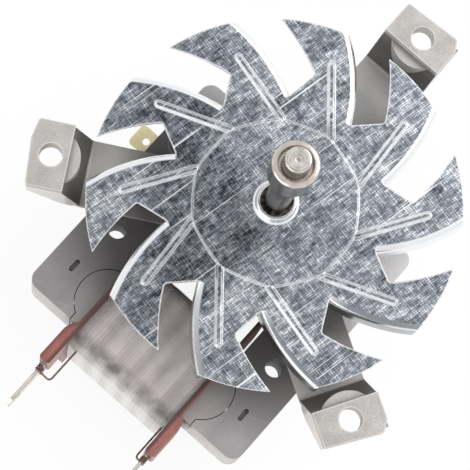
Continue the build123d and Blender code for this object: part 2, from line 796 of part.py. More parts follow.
collar_top_z = wheel_z + middle_h + collar_rise
with BuildPart() as fan_wheel:
    with BuildSketch(Plane.XY.offset(wheel_back_z)):
        Circle(wheel_r)
    extrude(amount=wheel_sheet)
    with PolarLocations(0, blades):
        add(slot.part, mode=Mode.SUBTRACT)
    with PolarLocations(0, blades):
        add(vane.part)
    with BuildSketch(Plane.XY.offset(vane_z)):
        Circle(wheel_r)
    extrude(amount=vane_depth + wheel_sheet, mode=Mode.INTERSECT)
    with BuildSketch(Plane.XY.offset(wheel_z)):
        add(raised_middle(0))
    extrude(amount=middle_h, taper=emboss_taper)
    with BuildSketch(Plane.XY.offset(wheel_z)):
        beads(bead_w)
    extrude(amount=bead_h, taper=emboss_taper)
    # The same forms, smaller, pressed in from the back
    with BuildSketch(Plane.XY.offset(wheel_back_z)):
        add(raised_middle(middle_h))
    extrude(amount=middle_h, taper=emboss_taper, mode=Mode.SUBTRACT)
    with BuildSketch(Plane.XY.offset(wheel_back_z)):
        beads(bead_back_w)
    extrude(amount=bead_back_h, taper=emboss_taper, mode=Mode.SUBTRACT)
    # Drawn collar that holds the bush
    with BuildSketch(Plane.XY.offset(wheel_z)):
        Circle(collar_r)
    extrude(amount=collar_top_z - wheel_z)
    with BuildSketch(Plane.XY.offset(wheel_back_z)):
        Circle(bush_r)
    extrude(amount=collar_top_z - wheel_back_z, mode=Mode.SUBTRACT)
    collar_edges = fan_wheel.edges().filter_by(
        lambda edge: edge.geom_type == GeomType.CIRCLE and abs(edge.radius - collar_r) < collar_rim_r
    )
    fillet(collar_edges.group_by(Axis.Z)[0], radius=collar_root_r)
    fillet(collar_edges.group_by(Axis.Z)[-1], radius=collar_rim_r)

# The wheel as it stands on the shaft
with BuildPart() as placed_wheel:
    add(fan_wheel.part.rotate(Axis.Z, tip_angle))
finish(placed_wheel.part, "fan_wheel")

# Bush in the wheel's collar, with its flange against the sheet's back
bush_front_z = collar_top_z - bush_sink
with BuildPart() as hub_bush:
    with BuildSketch(Plane.XY.offset(bush_front_z)):
        Circle(bush_r)
    extrude(amount=-bush_len)
    with BuildSketch(Plane.XY.offset(wheel_back_z + middle_h)):
        Circle(bush_flange_r)
    extrude(amount=-bush_flange_t - middle_h)
    with BuildSketch(Plane.XY.offset(bush_front_z)):
        Circle(shaft_r)
    extrude(amount=-bush_len, mode=Mode.SUBTRACT)
    with BuildSketch(Plane.XY.offset(bush_front_z)):
        Circle(bush_recess_r)
    extrude(amount=-bush_recess_depth, mode=Mode.SUBTRACT)
finish(hub_bush.part, "hub_bush")

# Round nut with a rolled front lip and a recess round the shaft's end
nut_front_z = shaft_out - nut_from_end
with BuildPart() as collar_nut:
    with BuildSketch(Plane.XY.offset(nut_front_z)):
        Circle(nut_r)
    extrude(amount=-nut_len)
    fillet(collar_nut.edges().group_by(Axis.Z)[-1], radius=nut_lip_r)
    fillet(collar_nut.edges().group_by(Axis.Z)[0], radius=nut_back_r)
    with BuildSketch(Plane.XY.offset(nut_front_z)):
        Circle(nut_recess_r)
    extrude(amount=-nut_recess_depth, mode=Mode.SUBTRACT)
    with BuildSketch(Plane.XY.offset(nut_front_z)):
        Circle(shaft_r)
    extrude(amount=-nut_len, mode=Mode.SUBTRACT)
finish(collar_nut.part, "collar_nut")
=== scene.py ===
import math

import bmesh
import bpy
from mathutils import Matrix, Vector


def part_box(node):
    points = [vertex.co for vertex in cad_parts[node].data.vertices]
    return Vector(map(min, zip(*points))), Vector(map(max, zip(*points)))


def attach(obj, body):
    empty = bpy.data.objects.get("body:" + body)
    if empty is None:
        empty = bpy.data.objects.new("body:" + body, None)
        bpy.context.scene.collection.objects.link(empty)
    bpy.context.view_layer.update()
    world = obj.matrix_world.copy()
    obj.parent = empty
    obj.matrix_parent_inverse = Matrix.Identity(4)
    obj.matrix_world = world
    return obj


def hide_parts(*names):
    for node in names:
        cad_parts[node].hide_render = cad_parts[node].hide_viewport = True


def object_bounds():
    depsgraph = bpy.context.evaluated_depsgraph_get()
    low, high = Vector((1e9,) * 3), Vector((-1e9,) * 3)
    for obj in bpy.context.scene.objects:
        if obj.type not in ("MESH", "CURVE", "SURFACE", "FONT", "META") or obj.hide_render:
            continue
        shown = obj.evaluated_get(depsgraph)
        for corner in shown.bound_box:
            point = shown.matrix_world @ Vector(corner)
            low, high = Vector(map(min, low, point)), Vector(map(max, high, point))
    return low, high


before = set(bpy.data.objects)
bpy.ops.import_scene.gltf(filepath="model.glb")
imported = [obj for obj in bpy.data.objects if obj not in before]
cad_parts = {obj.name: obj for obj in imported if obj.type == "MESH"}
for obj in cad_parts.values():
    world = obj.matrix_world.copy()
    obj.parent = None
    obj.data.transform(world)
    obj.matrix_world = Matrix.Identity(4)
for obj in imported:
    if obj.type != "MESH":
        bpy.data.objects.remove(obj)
cad_low, cad_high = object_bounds()

MM = 0.001
PER_MM = 1000.0

# Camera: the photograph's long lens, from a fit to the wheel, the holes and the shaft. The turn is in
# degrees, the leans are in radians, the rise and the way back in millimetres. What lies between the
# nearest and the furthest place, in metres, is seen
SIDE_PX = 470
SENSOR = 36.0
FOCAL_PX = 2400.0
CAMERA_TURN = -41.19588
CAMERA_LEAN_X = -0.18113859
CAMERA_LEAN_Y = 0.08667902
CAMERA_RISE = 0.263
CAMERA_BACK = (9.63437, 7.67499, -567.511)
NEAREST_SEEN = 0.05
FURTHEST_SEEN = 5.0

# Lamps: place, the point that each one faces, its two sides in metres and its power in watts
LAMPS = {
    "key": ((0.25, 0.55, 0.6), (0, 0, 0), (0.6, 0.6), 4),
    "fill": ((-0.05, -0.6, 0.1), (0, 0, -0.03), (0.6, 0.3), 1.5),
}

# White surroundings, and a pale floor with its sizes in metres
SKY_STRENGTH = 0.9
FLOOR_TONE = 0.9
FLOOR_GLOW_SHARE = 0.9
FLOOR_HALF = 1.5
FLOOR_BELOW = 0.0005

# In the rest of the values, sizes are in millimetres. A name that ends in _TURN is a direction round
# the motor's axis in degrees from +X, and one that ends in _R is a distance from that axis, or a
# radius. A pair is the two places between which something comes in or fades out

# Painted highlights on edges, and painted shade in seams, hollows and under the wheel, on several
# materials
EDGE_R = 0.3
SHADE_REACH = 16.0
SEAM_REACH = 1.8
BORE_REACH = 5.0
NEAR_REACH = 3.0
WHEEL_SHADE_R = (38.0, 55.0)

# Wheel. Its rolling marks run along and across one direction, and its bends carry a painted highlight
ROLL_TURN = 78.1
MARKS_ALONG = 0.52
MARKS_ACROSS = 0.64
DISC_UNDER_COLLAR = 2.85
RAISED_ABOVE_DISC = (0.02, 0.05)
# The sheet's rims carry a painted highlight, in a wider line at the slots' inner ends
RIM_EDGE_R = 0.55
SLOT_EDGE_R = 0.9
SLOT_RIM_R = (36, 40)
COLLAR_ROOT_R = (5.2, 6.4)
HUB_DARK_R = (14.7, 29.4)
# The painted highlight on the ten sided middle's outline is fainter and patchier than on the beads, which
# start further out
MIDDLE_OUTLINE_R = (20.9, 23.5)
MIDDLE_PATCHY_R = (22.5, 23.5)
# How much lighter or darker each of these vanes is, by its direction, from the vanes' roots on
VANES_R = (21.0, 27.3)
VANE_TONES = ((181, -0.14), (221, 0.07), (256, -0.12), (294, 0.06), (7, -0.04), (78, -0.04))
# One side of the wheel's inner part is darker
DARK_TURN = 228.0
DARK_IN_R = (7, 11)
DARK_OUT_R = (29, 36)
# Painted highlight: raised shapes are lighter on the sides that face one way, and the beads more on one
# side of the wheel
SHINE_TURN = 256.0
BEAD_DULL_TURN = 256.0
BEAD_BRIGHT_TURN = 50.0
# Painted shade: the folds on this side are grey, apart from a painted highlight on their crests
SHADED_FOLD_TURN = -36.0
SHADED_FOLD_R = (24, 30)

# Bracket and feet. The bracket has painted shade near the axis, less in one direction. The walls at a
# foot that face the motor lie nearer the axis than its hole does
INNER_WALL_R = (49.0, 50.0)
PLATE_EDGE_R = 0.7
BRACKET_SHADE_R = (31, 40)
BRACKET_SHADE_TURN = 90

# Stack. Its face has painted light that grows in one direction, away from the coil, and painted light at
# the coil's bar
SHEET_T = 0.5
STACK_PALE_TURN = 70.0
STACK_PALE = (-70, 0)
STACK_PALE_END = (-4, 9)
STACK_SHADED = (-12, -2)
STACK_SCRATCH_TURN = 20
BAR_PALE_X = (20, 25)
BAR_PALE_Y = (-36, -42)

# Shaft. Painted shade: it is darker brown, in streaks, from the collar up to here
SHADED_UP_TO = (35.5, 39.5)

# Bobbin. Its edges carry a painted highlight on one side, and its cheeks painted shade beside the coil
LIT_EDGE_TURN = -4.0
RESIN_EDGE_R = 1.8
RESIN_SHADE_FURTHER = 4.0
CHEEK_IN_X = 15.3
CHEEK_SHADED = (0.6, 1.1)

# Coil. The tape round it is smudged at the bend of its outer end and has painted light beyond
TAPE_RIDGE = 0.7
SMUDGED_FROM_Y = (-50.2, -52.6)
SMUDGED_TO_Y = (-54.2, -55.2)
TAPE_PAINTED_LIGHT_Y = (-53.6, -55.5)
COIL_THICK = 4.2
COIL_CORNER_R = 3.5
COIL_INNER_CORNER_R = 1.0
COIL_CORNER_STEPS = 6
WIRE_PITCH = 0.34
WIRE_BULGE = 0.12
WIRE_STEPS = 4
# Turns stand out unevenly: how far, and how fast that changes from turn to turn
WIRE_UNEVEN = ((0.03, 12.9898), (0.02, 4.1))

# Ends of the wire. Each leaves the coil this far inside its cheek, by the side it is on
LEAD_R = 0.25
LEAD_IN_FROM_CHEEK = {-1: 2.6, 1: 0.6}
LEAD_STARTS_BELOW_CORE = 4.0
LEAD_UNDER_BLADE_EDGE = 0.75
LEAD_BELOW_BLOCK = 2.3
LEAD_BEND = 0.8
LEAD_BEND_MID = (0.25, 0.2)
WRAP_TURNS = 3
WRAP_PITCH = 0.62
WRAP_GAP = 0.28

# A wave texture of scale 1 repeats after this length
WAVE_UNIT = math.pi / 10
# The mix node has sockets of its own for colours and for values: first, second and result
MIX_SOCKETS = {"RGBA": (6, 7, 2), "FLOAT": (2, 3, 0)}


def shade(red, green, blue):
    """A colour in the light's own scale from its 0 to 255 values on a screen."""
    values = []
    for part in (red, green, blue):
        share = part / 255
        values.append(share / 12.92 if share <= 0.04045 else ((share + 0.055) / 1.055) ** 2.4)
    return (*values, 1.0)


# Painted shade: the next two colours darken hollows, seams, slopes, parts under the wheel and the shaft
# above its collar
SHADE_DARK = shade(52, 49, 48)
SHADE_BROWN = shade(64, 52, 47)
ZINC_DARK = shade(48, 51, 57)
ZINC_MID = shade(132, 137, 145)
ZINC_LIGHT = shade(244, 246, 250)
ZINC_SCRATCHED = shade(244, 246, 249)
# Painted highlights on the wheel's bends, crests and rims, and painted shade on its folds on one side
ZINC_BEND_HIGHLIGHT = shade(246, 248, 251)
ZINC_FOLD_SHADE = shade(146, 149, 154)
ZINC_CREST_HIGHLIGHT = shade(240, 242, 245)
ZINC_RIM_HIGHLIGHT = shade(250, 251, 253)
# Painted highlights on edges, and painted light on walls in the bracket's and the plates' holes
STEEL_EDGE_HIGHLIGHT = shade(225, 222, 216)
BRACKET_WALL_LIGHT = shade(225, 222, 218)
PLATE_EDGE_HIGHLIGHT = shade(232, 229, 226)
PLATE_BORE_LIGHT = shade(252, 248, 244)
STACK_DARK = shade(126, 121, 123)
STACK_LIGHT = shade(158, 152, 154)
# Painted light on the stack's face
STACK_PAINTED_LIGHT = shade(222, 219, 218)
STACK_PAINTED_LIGHTEST = shade(236, 234, 233)
STACK_SCRATCHED = shade(205, 200, 198)
# Painted highlight on the stack's edges
STACK_EDGE_HIGHLIGHT = shade(215, 212, 208)
SHEET_EDGE_DARK = shade(188, 184, 182)
SHEET_EDGE_LIGHT = shade(222, 219, 216)
SHEET_GAP = shade(120, 116, 114)
TIN_DARK = shade(198, 192, 184)
TIN_LIGHT = shade(240, 236, 228)
# Painted shade on the terminals' edges
TIN_EDGE_SHADE = shade(112, 104, 98)
TAPE_DARK = shade(166, 156, 154)
TAPE_LIGHT = shade(234, 226, 224)
TAPE_SMUDGED = shade(112, 107, 105)
# Painted light on the coil's outer end
TAPE_PAINTED_LIGHT = shade(208, 205, 200)
ENAMEL_DARK = shade(74, 52, 48)
ENAMEL_LIGHT = shade(142, 106, 98)
BRASS_DARK = shade(232, 219, 168)
BRASS_LIGHT = shade(252, 245, 206)
# Painted highlight on the brass's edges
BRASS_EDGE_HIGHLIGHT = shade(240, 228, 190)
ALLOY_DARK = shade(128, 128, 130)
ALLOY_LIGHT = shade(184, 184, 186)
FELT_DARK = shade(120, 108, 88)
FELT_LIGHT = shade(196, 184, 160)


def build_camera():
    """Sets the camera of the photograph."""
    turn = Matrix.Rotation(math.radians(CAMERA_TURN), 4, "Z")
    lean = Matrix.Rotation(CAMERA_LEAN_X, 4, "X") @ Matrix.Rotation(CAMERA_LEAN_Y, 4, "Y")
    rise = Matrix.Translation((0, 0, CAMERA_RISE * MM))
    back = Matrix.Translation(Vector(CAMERA_BACK) * MM)
    to_camera = back @ lean @ rise @ turn
    data = bpy.data.cameras.new("camera")
    data.sensor_width = SENSOR
    data.lens = SENSOR * FOCAL_PX / SIDE_PX
    data.clip_start = NEAREST_SEEN
    data.clip_end = FURTHEST_SEEN
    holder = bpy.data.objects.new("camera", data)
    holder.matrix_world = to_camera.inverted()
    bpy.context.scene.collection.objects.link(holder)
    bpy.context.scene.camera = holder


# Nodes and values of a material
def start(name, metallic, specular=0.5):
    """A new material with its node tree and its main shader."""
    material = bpy.data.materials.new(name)
    material.use_nodes = True
    tree = material.node_tree
    main = tree.nodes["Principled BSDF"]
    main.inputs["Metallic"].default_value = metallic
    main.inputs["Specular IOR Level"].default_value = specular
    return material, tree, main


def fill(tree, socket, value):
    """Links a socket to another one, or sets its value."""
    if isinstance(value, bpy.types.NodeSocket):
        tree.links.new(value, socket)
    else:
        socket.default_value = value


def put(tree, kind, sockets=None, **settings):
    """A node with its settings made and its sockets filled."""
    made = tree.nodes.new(kind)
    for key, value in settings.items():
        setattr(made, key, value)
    for key, value in (sockets or {}).items():
        fill(tree, made.inputs[key], value)
    return made


def use(tree, main, **sockets):
    """Fills the main shader's sockets; an underscore stands for a space."""
    for key, value in sockets.items():
        fill(tree, main.inputs[key.replace("_", " ")], value)


def calc(tree, operation, first, second=0.0):
    """One arithmetic operation on two values."""
    return put(tree, "ShaderNodeMath", {0: first, 1: second}, operation=operation).outputs[0]


def calc_vector(tree, operation, first, second=(0, 0, 0), result="Vector"):
    """One arithmetic operation on vectors."""
    made = put(tree, "ShaderNodeVectorMath", {0: first, 1: second}, operation=operation)
    return made.outputs[result]


def joined(tree, operation, values):
    """Several values joined by one operation, from left to right."""
    result = values[0]
    for value in values[1:]:
        result = calc(tree, operation, result, value)
    return result


def times(tree, *values):
    """The product of several values."""
    return joined(tree, "MULTIPLY", values)


def total(tree, *values):
    """The sum of several values."""
    return joined(tree, "ADD", values)


def most(tree, *values):
    """The largest of several values."""
    return joined(tree, "MAXIMUM", values)


def ramp(tree, value, low, high, out_low=0.0, out_high=1.0):
    """Maps a value from low..high to out_low..out_high, held at both ends."""
    return put(
        tree, "ShaderNodeMapRange",
        {"Value": value, "From Min": low, "From Max": high, "To Min": out_low, "To Max": out_high},
    ).outputs[0]


def blend(tree, share, first, second, kind="RGBA"):
    """Mixes two colours, or two values of the kind FLOAT."""
    made = put(tree, "ShaderNodeMix", {0: share}, data_type=kind)
    first_socket, second_socket, result = MIX_SOCKETS[kind]
    fill(tree, made.inputs[first_socket], first)
    fill(tree, made.inputs[second_socket], second)
    return made.outputs[result]


# Places and directions on a piece, in its own space
def aim(degrees):
    """The level direction at an angle from +X."""
    turn = math.radians(degrees)
    return (math.cos(turn), math.sin(turn), 0)


def dot(tree, first, second):
    """How far two directions agree: 1 when they are the same and 0 at a right angle."""
    return calc_vector(tree, "DOT_PRODUCT", first, second, "Value")


def place(tree, per_mm=1, turn=0):
    """Coordinates, turned about Z and then scaled per millimetre, in all or in each direction."""
    source = put(tree, "ShaderNodeTexCoord").outputs["Object"]
    turned = put(
        tree, "ShaderNodeVectorRotate", {"Vector": source, "Angle": math.radians(-turn)},
        rotation_type="Z_AXIS",
    ).outputs[0]
    scales = per_mm if isinstance(per_mm, tuple) else (per_mm, per_mm, per_mm)
    return calc_vector(tree, "MULTIPLY", turned, tuple(scale * PER_MM for scale in scales))


def coordinate(tree, axis, turn=0):
    """One coordinate in millimetres, after a turn about Z."""
    return put(tree, "ShaderNodeSeparateXYZ", {0: place(tree, 1, turn)}).outputs[axis]


def from_axis(tree):
    """The level way from the motor's axis to a place, in millimetres."""
    return calc_vector(tree, "MULTIPLY", place(tree), (1, 1, 0))


def axis_distance(tree):
    """Distance from the motor's axis in millimetres."""
    return calc_vector(tree, "LENGTH", from_axis(tree), result="Value")


def toward(tree, degrees):
    """How far a place lies toward one direction from the motor's axis, as a cosine."""
    return dot(tree, calc_vector(tree, "NORMALIZE", from_axis(tree)), aim(degrees))


def normal(tree):
    """The way the surface faces."""
    return put(tree, "ShaderNodeTexCoord").outputs["Normal"]


def facing(tree, degrees):
    """How far the surface faces one level direction, as a cosine."""
    return dot(tree, normal(tree), aim(degrees))


def level(tree):
    """How much the surface faces up or down, from 0 for a wall to 1."""
    upward = put(tree, "ShaderNodeSeparateXYZ", {0: normal(tree)}).outputs["Z"]
    return calc(tree, "ABSOLUTE", upward)


def soft_normal(tree, radius):
    """The way the surface would face if its edges were rounded to this radius."""
    return put(tree, "ShaderNodeBevel", {"Radius": radius * MM}, samples=4).outputs[0]


def edges(tree, radius, low=0.02, high=0.2):
    """1 on the piece's edges and 0 on its faces, from how far a rounded edge would turn the surface."""
    sharp = put(tree, "ShaderNodeNewGeometry").outputs["Normal"]
    alike = dot(tree, soft_normal(tree, radius), sharp)
    return ramp(tree, calc(tree, "SUBTRACT", 1.0, alike), low, high)


def leaning(tree, radius, degrees):
    """Above 0 along the edges that face a direction and below 0 along those that face away."""
    return dot(tree, soft_normal(tree, radius), aim(degrees))


def hidden(tree, reach=SHADE_REACH, low=0.25, high=0.8):
    """1 where other surfaces close this one in and 0 in the open, a mask for painted shade, and in holes
    for painted light.
    """
    open_share = put(
        tree, "ShaderNodeAmbientOcclusion", {"Distance": reach * MM}, samples=8
    ).outputs["AO"]
    return ramp(tree, open_share, low, high, 1, 0)


def under_wheel(tree, further=0.0):
    """1 under the wheel's middle and 0 well outside its rim: a mask for the wheel's painted shade."""
    near, far = WHEEL_SHADE_R
    return ramp(tree, axis_distance(tree), near + further, far + further, 1, 0)


# Patterns
def noise_on(tree, vector, detail=2.0, roughness=0.5, distortion=0.0):
    """Random blotches on the coordinates that are given."""
    return put(
        tree, "ShaderNodeTexNoise",
        {"Vector": vector, "Scale": 1.0, "Detail": detail, "Roughness": roughness,
         "Distortion": distortion},
    ).outputs["Fac"]


def noise(tree, per_mm, detail=2.0, roughness=0.5, distortion=0.0, turn=0):
    """Random blotches, or streaks where the scales per millimetre differ by direction."""
    return noise_on(tree, place(tree, per_mm, turn), detail, roughness, distortion)


def bands(tree, vector, period, warp=0.0):
    """Even lines across X, with this distance between them in the vector's own units."""
    return put(
        tree, "ShaderNodeTexWave",
        {"Vector": vector, "Scale": WAVE_UNIT / period, "Distortion": warp, "Detail": 1.0},
        wave_type="BANDS", bands_direction="X",
    ).outputs["Fac"]


def only_x(tree, value):
    """A vector with this value along X, for a pattern that follows a single measure."""
    return put(tree, "ShaderNodeCombineXYZ", {0: value}).outputs[0]


def layered(tree, *layers, low=0.3, high=0.7):
    """A tone from several patterns, each with its share."""
    return total(tree, *(ramp(tree, layer, low, high, 0, share) for layer, share in layers))


def bump(tree, height, distance, soft_edge=0.15):
    """Relief from a height, on a surface whose edges look rounded."""
    return put(
        tree, "ShaderNodeBump",
        {"Height": height, "Distance": distance * MM, "Strength": 1.0,
         "Normal": soft_normal(tree, soft_edge)},
    ).outputs[0]


# Material of the wheel. Plain numbers in a material are shares and limits of its tones, scales of
# its patterns per millimetre and their detail
def fine_marks(tree, turn, period):
    """Short thin marks along one direction: even lines, broken up by a stretched noise."""
    lines = bands(tree, place(tree, 1, turn + 90), period, 1.6)
    broken = noise(tree, (0.36, 1.9, 1), 4.0, 0.7, 0.08, turn)
    return times(tree, ramp(tree, lines, 0.15, 1.0, 0.35, 1.0), ramp(tree, broken, 0.38, 0.68))


def zinc_tone(tree, marks, mottle, radius):
    """How light the wheel's sheet is: its marks, blotches and clouds, and the vanes' own tones."""
    clouds = noise(tree, (0.14, 0.2, 0.1), 3.0, 0.6, 0.5, ROLL_TURN)
    brushed = noise(tree, (0.04, 0.55, 0.1), 3.0, 0.65, 0.2, ROLL_TURN)
    inner_part = times(tree, ramp(tree, radius, *DARK_IN_R), ramp(tree, radius, *DARK_OUT_R, 1, 0))
    dark_side = ramp(tree, toward(tree, DARK_TURN), 0.45, 0.75, 0, -0.19)
    tone = total(
        tree, marks, ramp(tree, mottle, 0.34, 0.66, -0.07, 0.27),
        ramp(tree, clouds, 0.34, 0.66, -0.14, 0.18), ramp(tree, brushed, 0.36, 0.66, -0.06, 0.1),
        ramp(tree, radius, *HUB_DARK_R, -0.02, 0.0), times(tree, inner_part, dark_side),
    )
    outside = ramp(tree, radius, *VANES_R)
    for turn, change in VANE_TONES:
        vane = ramp(tree, toward(tree, turn), 0.84, 0.97, 0, change)
        tone = total(tree, tone, times(tree, outside, vane))
    return tone


def zinc_sheet(tree, tone):
    """Colour of the flat sheet by its tone, with long scratches along the rolling direction."""
    darker = blend(tree, ramp(tree, tone, -0.05, 0.45), ZINC_DARK, ZINC_MID)
    colour = blend(tree, ramp(tree, tone, 0.45, 1.0), darker, ZINC_LIGHT)
    scratches = ramp(tree, noise(tree, (0.02, 2.2, 1), 1.0, turn=ROLL_TURN), 0.68, 0.75, 0, 0.8)
    return blend(tree, scratches, colour, ZINC_SCRATCHED)


def zinc_emboss(tree, radius):
    """How strong the painted highlight on the bends of the raised shapes is: patchy, one-sided and faint
    at the middle.
    """
    patchy = ramp(tree, noise(tree, 0.25, 2.0, 0.6), 0.35, 0.65, 0.75, 1.0)
    outline_gaps = ramp(tree, noise(tree, 0.11), 0.42, 0.56, 0.3, 1.0)
    outline = times(
        tree, ramp(tree, radius, *MIDDLE_OUTLINE_R, 0.5, 1.0),
        most(tree, outline_gaps, ramp(tree, radius, *MIDDLE_PATCHY_R)),
    )
    shine = most(
        tree, ramp(tree, facing(tree, SHINE_TURN), -0.2, 0.25, 0.5, 1.0),
        ramp(tree, toward(tree, BEAD_BRIGHT_TURN), 0.6, 0.9),
    )
    dull = ramp(tree, toward(tree, BEAD_DULL_TURN), 0.5, 0.9, 1.0, 0.6)
    collar = ramp(tree, radius, *COLLAR_ROOT_R, 1, 0)
    return most(tree, times(tree, patchy, outline, shine, dull), collar)


def zinc_fold(tree, radius, flat, raised):
    """Colour of the bends: a painted highlight, and painted shade on the folds on one side, apart from a
    painted highlight on their crests.
    """
    fold_shade = times(
        tree, ramp(tree, toward(tree, SHADED_FOLD_TURN), 0.5, 0.85), ramp(tree, radius, *SHADED_FOLD_R),
        calc(tree, "SUBTRACT", 1.0, raised),
    )
    crest_highlight = times(tree, ramp(tree, flat, 0.74, 0.56), ramp(tree, flat, 0.2, 0.4), 0.9)
    return blend(tree, fold_shade, ZINC_BEND_HIGHLIGHT, blend(tree, crest_highlight, ZINC_FOLD_SHADE, ZINC_CREST_HIGHLIGHT))


def wheel_zinc():
    """Galvanised sheet: crossing rolling marks and long scratches, with painted highlights on its bends
    and rims.
    """
    material, tree, main = start("wheel_zinc", 1.0)
    marks = total(
        tree, times(tree, fine_marks(tree, ROLL_TURN, MARKS_ALONG), 0.62),
        times(tree, fine_marks(tree, ROLL_TURN + 90, MARKS_ACROSS), 0.5),
    )
    mottle = noise(tree, (0.6, 0.9, 0.9), 4.0, 0.75, 0.2, ROLL_TURN)
    radius = axis_distance(tree)
    tone = zinc_tone(tree, marks, mottle, radius)
    flat = level(tree)
    disc_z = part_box("fan_wheel")[1].z * PER_MM - DISC_UNDER_COLLAR
    raised = ramp(tree, coordinate(tree, "Z"), *(disc_z + step for step in RAISED_ABOVE_DISC))
    # Painted highlight on the bends
    emboss_highlight = blend(tree, raised, 1.0, zinc_emboss(tree, radius), "FLOAT")
    bend_highlight = times(tree, ramp(tree, flat, 0.999, 0.985), emboss_highlight)
    colour = blend(tree, bend_highlight, zinc_sheet(tree, tone), zinc_fold(tree, radius, flat, raised))
    # Painted highlight on the rims
    rim_highlights = most(
        tree, edges(tree, RIM_EDGE_R, 0.03, 0.09),
        times(tree, edges(tree, SLOT_EDGE_R, 0.06, 0.12), ramp(tree, radius, *SLOT_RIM_R, 1, 0)),
    )
    use(
        tree, main, Base_Color=blend(tree, rim_highlights, colour, ZINC_RIM_HIGHLIGHT),
        Roughness=blend(tree, bend_highlight, ramp(tree, tone, 0.0, 1.0, 0.44, 0.32), 0.22, "FLOAT"),
        Normal=bump(tree, total(tree, marks, mottle), 0.012),
    )
    return material


# Materials of sheet and plate
def steel_sheet(tree, light, dark, grain, edge):
    """Colour, tone and speckle of plain metal: cloudy and finely speckled, with a painted highlight on
    its edges.
    """
    speckle = noise(tree, 3.2 * grain, 2.0, 0.7)
    tone = layered(tree, (noise(tree, 0.16, 4.0, 0.6), 0.5), (speckle, 0.5))
    colour = blend(tree, tone, dark, light)
    # Painted highlight on the edges
    bright = times(tree, edges(tree, EDGE_R), edge)
    return blend(tree, bright, colour, STEEL_EDGE_HIGHLIGHT), tone, speckle


def with_painted_shade(tree, colour, low, high):
    """A colour with painted shade where other surfaces close it in, and more in the seams between them.
    """
    colour = blend(tree, hidden(tree, SHADE_REACH, low, high), colour, SHADE_DARK)
    return blend(tree, times(tree, hidden(tree, SEAM_REACH, 0.4, 0.95), 0.7), colour, SHADE_DARK)


def use_sheet(tree, main, colour, tone, speckle, rough):
    """Finishes sheet or plate from its colour, with the light parts the smoothest."""
    smooth, coarse = rough
    use(
        tree, main, Base_Color=colour, Roughness=ramp(tree, tone, 0, 1, coarse, smooth),
        Normal=bump(tree, speckle, 0.04),
    )


def plain_metal(name, light, dark, grain=1.0, metallic=0.85):
    """Plain metal of the small pieces."""
    material, tree, main = start(name, metallic)
    colour, tone, speckle = steel_sheet(tree, light, dark, grain, 0.5)
    use_sheet(tree, main, with_painted_shade(tree, colour, 0.2, 0.6), tone, speckle, (0.38, 0.55))
    return material


def bracket_steel():
    """Bracket: painted shade where closed in, toward the wheel's middle and on its slopes, and painted
    light on its walls out at the feet, in their holes too.
    """
    material, tree, main = start("bracket_steel", 0.4)
    colour, tone, speckle = steel_sheet(tree, shade(192, 189, 186), shade(166, 163, 160), 1.0, 0.1)
    colour = with_painted_shade(tree, colour, 0.1, 0.5)
    flat = level(tree)
    radius = axis_distance(tree)
    # Painted light on the walls out at the feet and in their holes
    bore = times(tree, ramp(tree, flat, 0.5, 0.3), ramp(tree, radius, *INNER_WALL_R), 0.8)
    colour = blend(tree, bore, colour, BRACKET_WALL_LIGHT)
    # Painted shade of the wheel toward the axis, less in one direction
    bracket_shade = times(
        tree, ramp(tree, radius, *BRACKET_SHADE_R, 1, 0),
        ramp(tree, toward(tree, BRACKET_SHADE_TURN), 0.0, 0.7, 0.6, 0.15),
    )
    colour = blend(tree, bracket_shade, colour, SHADE_DARK)
    # Painted shade on the slopes
    slope = times(tree, ramp(tree, flat, 0.85, 0.6), ramp(tree, flat, 0.12, 0.3), 0.75)
    use_sheet(tree, main, blend(tree, slope, colour, SHADE_DARK), tone, speckle, (0.5, 0.65))
    return material


def foot_steel():
    """Thick plates of the feet: painted highlights on the edges, painted shade on the walls toward the
    motor and painted light in the holes.
    """
    material, tree, main = start("foot_steel", 0.4)
    colour, tone, speckle = steel_sheet(tree, shade(196, 192, 189), shade(148, 144, 141), 0.8, 0.5)
    # Painted highlight along the edges
    edge_highlight = times(tree, edges(tree, PLATE_EDGE_R, 0.01, 0.1), 0.6)
    colour = blend(tree, edge_highlight, colour, PLATE_EDGE_HIGHLIGHT)
    # Painted shade on the walls that face the motor
    wall = ramp(tree, level(tree), 0.5, 0.3)
    inner = ramp(tree, axis_distance(tree), *INNER_WALL_R, 1, 0)
    colour = blend(tree, times(tree, wall, inner, 0.85), colour, SHADE_DARK)
    # Painted light in the holes
    bore = times(tree, wall, hidden(tree, BORE_REACH, 0.45, 0.8))
    use_sheet(tree, main, blend(tree, bore, colour, PLATE_BORE_LIGHT), tone, speckle, (0.5, 0.65))
    return material


# Material of the stack
def stack_face(tree, tone, along):
    """Faces of the stack: annealed sheet with a few scratches, and painted light that grows away from the
    coil and at its bar.
    """
    face = blend(tree, tone, STACK_DARK, STACK_LIGHT)
    # Painted light away from the coil
    face = blend(tree, ramp(tree, along, *STACK_PALE, 0, 0.4), face, STACK_PAINTED_LIGHT)
    face = blend(tree, ramp(tree, along, *STACK_PALE_END, 0, 0.9), face, STACK_PAINTED_LIGHTEST)
    # Painted light at the coil's bar
    sideways = calc(tree, "ABSOLUTE", coordinate(tree, "X"))
    bar = times(
        tree, ramp(tree, sideways, *BAR_PALE_X, 1, 0), ramp(tree, coordinate(tree, "Y"), *BAR_PALE_Y), 0.3
    )
    face = blend(tree, bar, face, STACK_PAINTED_LIGHT)
    scratches = noise(tree, (0.03, 3.0, 1), 1.0, turn=STACK_SCRATCH_TURN)
    return blend(tree, ramp(tree, scratches, 0.69, 0.74, 0, 0.5), face, STACK_SCRATCHED)


